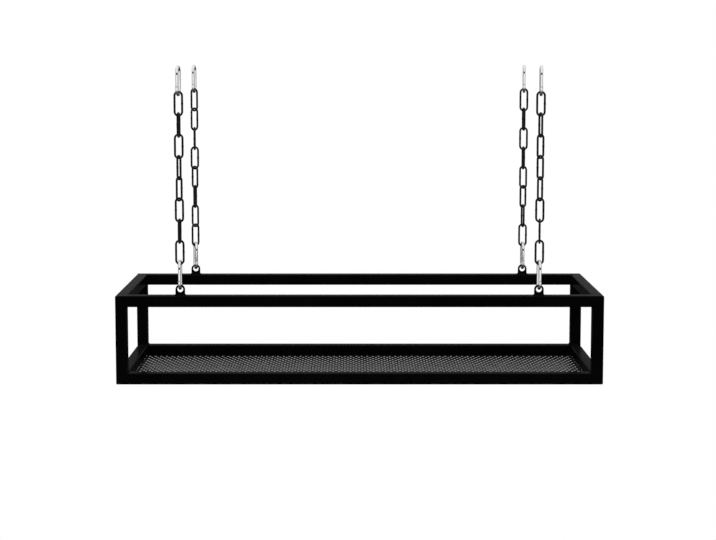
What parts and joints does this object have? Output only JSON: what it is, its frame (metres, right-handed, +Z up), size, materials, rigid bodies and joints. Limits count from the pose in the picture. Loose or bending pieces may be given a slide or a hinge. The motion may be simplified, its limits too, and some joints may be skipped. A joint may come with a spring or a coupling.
{
  "type": "hanging ceiling shelf",
  "caption": "Open steel box frame with a perforated floor, hung level from the ceiling by chains with snap hooks at both ends.",
  "frame": {"origin": "ceiling level: the middle of the four top snap hooks at the height where their upper ends bear on what holds them", "axes": "+X right along the shelf's length, +Y to the back, +Z up"},
  "size_m": [0.8, 0.2535, 0.5228],
  "materials": {
    "frame": "satin black powder coat",
    "sheet": "satin black powder coat",
    "chain": "semi-gloss black",
    "zinc": "bright zinc plate"
  },
  "bodies": {
    "ceiling_hooks": {"top_hook_front_left": "zinc", "top_hook_front_right": "zinc", "top_hook_rear_left": "zinc", "top_hook_rear_right": "zinc", "top_hook_rivets": "zinc"},
    "first_link_front_left": {"top_link_front_left": "chain"},
    "hanging_chain_front_left": {"chain_front_left": "chain"},
    "lower_hook_front_left": {"bottom_hook_front_left": "zinc", "bottom_rivet_front_left": "zinc"},
    "upper_gate_front_left": {"top_gate_front_left": "zinc", "top_spring_front_left": "zinc"},
    "lower_gate_front_left": {"bottom_gate_front_left": "zinc", "bottom_spring_front_left": "zinc"},
    "first_link_front_right": {"top_link_front_right": "chain"},
    "hanging_chain_front_right": {"chain_front_right": "chain"},
    "lower_hook_front_right": {"bottom_hook_front_right": "zinc", "bottom_rivet_front_right": "zinc"},
    "upper_gate_front_right": {"top_gate_front_right": "zinc", "top_spring_front_right": "zinc"},
    "lower_gate_front_right": {"bottom_gate_front_right": "zinc", "bottom_spring_front_right": "zinc"},
    "first_link_rear_left": {"top_link_rear_left": "chain"},
    "hanging_chain_rear_left": {"chain_rear_left": "chain"},
    "lower_hook_rear_left": {"bottom_hook_rear_left": "zinc", "bottom_rivet_rear_left": "zinc"},
    "upper_gate_rear_left": {"top_gate_rear_left": "zinc", "top_spring_rear_left": "zinc"},
    "lower_gate_rear_left": {"bottom_gate_rear_left": "zinc", "bottom_spring_rear_left": "zinc"},
    "first_link_rear_right": {"top_link_rear_right": "chain"},
    "hanging_chain_rear_right": {"chain_rear_right": "chain"},
    "lower_hook_rear_right": {"bottom_hook_rear_right": "zinc", "bottom_rivet_rear_right": "zinc"},
    "upper_gate_rear_right": {"top_gate_rear_right": "zinc", "top_spring_rear_right": "zinc"},
    "lower_gate_rear_right": {"bottom_gate_rear_right": "zinc", "bottom_spring_rear_right": "zinc"},
    "shelf_frame": {"top_rail_front": "frame", "top_rail_rear": "frame", "top_rail_left": "frame", "top_rail_right": "frame", "bottom_rail_front": "frame", "bottom_rail_rear": "frame", "bottom_rail_left": "frame", "bottom_rail_right": "frame", "post_front_left": "frame", "post_front_right": "frame", "post_rear_left": "frame", "post_rear_right": "frame", "perforated_sheet": "sheet", "lug_front_left": "frame", "lug_front_right": "frame", "lug_rear_left": "frame", "lug_rear_right": "frame"}
  },
  "joints": [
    {"name": "side_swing_front_left", "type": "hinge", "parent": "ceiling_hooks", "child": "first_link_front_left", "pos_m": [-0.294, -0.11575, -0.0425], "axis": [0, 1, 0], "range_deg": [-20, 20]},
    {"name": "fore_swing_front_left", "type": "hinge", "parent": "first_link_front_left", "child": "hanging_chain_front_left", "pos_m": [-0.294, -0.11575, -0.07625], "axis": [1, 0, 0], "range_deg": [-20, 20]},
    {"name": "hook_level_front_left", "type": "hinge", "parent": "hanging_chain_front_left", "child": "lower_hook_front_left", "pos_m": [-0.294, -0.11575, -0.31895], "axis": [1, 0, 0], "range_deg": [-20, 20]},
    {"name": "upper_gate_front_left", "type": "hinge", "parent": "ceiling_hooks", "child": "upper_gate_front_left", "pos_m": [-0.29489, -0.1242, -0.0311], "axis": [-0.9945, 0.1045, 0], "range_deg": [0, 30], "stiffness_Nm_per_rad": 0.02, "springref_deg": -28.65},
    {"name": "lower_gate_front_left", "type": "hinge", "parent": "lower_hook_front_left", "child": "lower_gate_front_left", "pos_m": [-0.294, -0.12425, -0.3478], "axis": [-1, 0, 0], "range_deg": [0, 30], "stiffness_Nm_per_rad": 0.02, "springref_deg": -28.65},
    {"name": "side_swing_front_right", "type": "hinge", "parent": "ceiling_hooks", "child": "first_link_front_right", "pos_m": [0.294, -0.11575, -0.0425], "axis": [0, 1, 0], "range_deg": [-20, 20]},
    {"name": "fore_swing_front_right", "type": "hinge", "parent": "first_link_front_right", "child": "hanging_chain_front_right", "pos_m": [0.294, -0.11575, -0.07625], "axis": [1, 0, 0], "range_deg": [-20, 20]},
    {"name": "hook_level_front_right", "type": "hinge", "parent": "hanging_chain_front_right", "child": "lower_hook_front_right", "pos_m": [0.294, -0.11575, -0.31895], "axis": [1, 0, 0], "range_deg": [-20, 20]},
    {"name": "upper_gate_front_right", "type": "hinge", "parent": "ceiling_hooks", "child": "upper_gate_front_right", "pos_m": [0.29341, -0.12423, -0.0311], "axis": [-0.9976, 0.0698, 0], "range_deg": [0, 30], "stiffness_Nm_per_rad": 0.02, "springref_deg": -28.65},
    {"name": "lower_gate_front_right", "type": "hinge", "parent": "lower_hook_front_right", "child": "lower_gate_front_right", "pos_m": [0.29459, -0.12423, -0.3478], "axis": [-0.9976, -0.0698, 0], "range_deg": [0, 30], "stiffness_Nm_per_rad": 0.02, "springref_deg": -28.65},
    {"name": "side_swing_rear_left", "type": "hinge", "parent": "ceiling_hooks", "child": "first_link_rear_left", "pos_m": [-0.294, 0.11575, -0.0425], "axis": [0, 1, 0], "range_deg": [-20, 20]},
    {"name": "fore_swing_rear_left", "type": "hinge", "parent": "first_link_rear_left", "child": "hanging_chain_rear_left", "pos_m": [-0.294, 0.11575, -0.07625], "axis": [1, 0, 0], "range_deg": [-20, 20]},
    {"name": "hook_level_rear_left", "type": "hinge", "parent": "hanging_chain_rear_left", "child": "lower_hook_rear_left", "pos_m": [-0.294, 0.11575, -0.31895], "axis": [1, 0, 0], "range_deg": [-20, 20]},
    {"name": "upper_gate_rear_left", "type": "hinge", "parent": "ceiling_hooks", "child": "upper_gate_rear_left", "pos_m": [-0.29474, 0.10728, -0.0311], "axis": [-0.9962, 0.0872, 0], "range_deg": [0, 30], "stiffness_Nm_per_rad": 0.02, "springref_deg": -28.65},
    {"name": "lower_gate_rear_left", "type": "hinge", "parent": "lower_hook_rear_left", "child": "lower_gate_rear_left", "pos_m": [-0.29137, 0.10767, -0.3478], "axis": [-0.9511, -0.309, 0], "range_deg": [0, 30], "stiffness_Nm_per_rad": 0.02, "springref_deg": -28.65},
    {"name": "side_swing_rear_right", "type": "hinge", "parent": "ceiling_hooks", "child": "first_link_rear_right", "pos_m": [0.294, 0.11575, -0.0425], "axis": [0, 1, 0], "range_deg": [-20, 20]},
    {"name": "fore_swing_rear_right", "type": "hinge", "parent": "first_link_rear_right", "child": "hanging_chain_rear_right", "pos_m": [0.294, 0.11575, -0.07625], "axis": [1, 0, 0], "range_deg": [-20, 20]},
    {"name": "hook_level_rear_right", "type": "hinge", "parent": "hanging_chain_rear_right", "child": "lower_hook_rear_right", "pos_m": [0.294, 0.11575, -0.31895], "axis": [1, 0, 0], "range_deg": [-20, 20]},
    {"name": "upper_gate_rear_right", "type": "hinge", "parent": "ceiling_hooks", "child": "upper_gate_rear_right", "pos_m": [0.29311, 0.1073, -0.0311], "axis": [-0.9945, 0.1045, 0], "range_deg": [0, 30], "stiffness_Nm_per_rad": 0.02, "springref_deg": -28.65},
    {"name": "lower_gate_rear_right", "type": "hinge", "parent": "lower_hook_rear_right", "child": "lower_gate_rear_right", "pos_m": [0.29445, 0.10726, -0.3478], "axis": [-0.9986, -0.0523, 0], "range_deg": [0, 30], "stiffness_Nm_per_rad": 0.02, "springref_deg": -28.65},
    {"name": "shelf_level", "type": "hinge", "parent": "lower_hook_front_left", "child": "shelf_frame", "pos_m": [-0.294, -0.11575, -0.3592], "axis": [0, 1, 0], "range_deg": [-20, 20]}
  ],
  "couplings": [
    {"joint": "hook_level_front_left", "follows": "fore_swing_front_left", "ratio": -1},
    {"joint": "hook_level_front_right", "follows": "fore_swing_front_left", "ratio": -1},
    {"joint": "side_swing_front_right", "follows": "side_swing_front_left", "ratio": 1},
    {"joint": "fore_swing_front_right", "follows": "fore_swing_front_left", "ratio": 1},
    {"joint": "hook_level_rear_left", "follows": "fore_swing_front_left", "ratio": -1},
    {"joint": "side_swing_rear_left", "follows": "side_swing_front_left", "ratio": 1},
    {"joint": "fore_swing_rear_left", "follows": "fore_swing_front_left", "ratio": 1},
    {"joint": "hook_level_rear_right", "follows": "fore_swing_front_left", "ratio": -1},
    {"joint": "side_swing_rear_right", "follows": "side_swing_front_left", "ratio": 1},
    {"joint": "fore_swing_rear_right", "follows": "fore_swing_front_left", "ratio": 1},
    {"joint": "shelf_level", "follows": "side_swing_front_left", "ratio": -1}
  ]
}
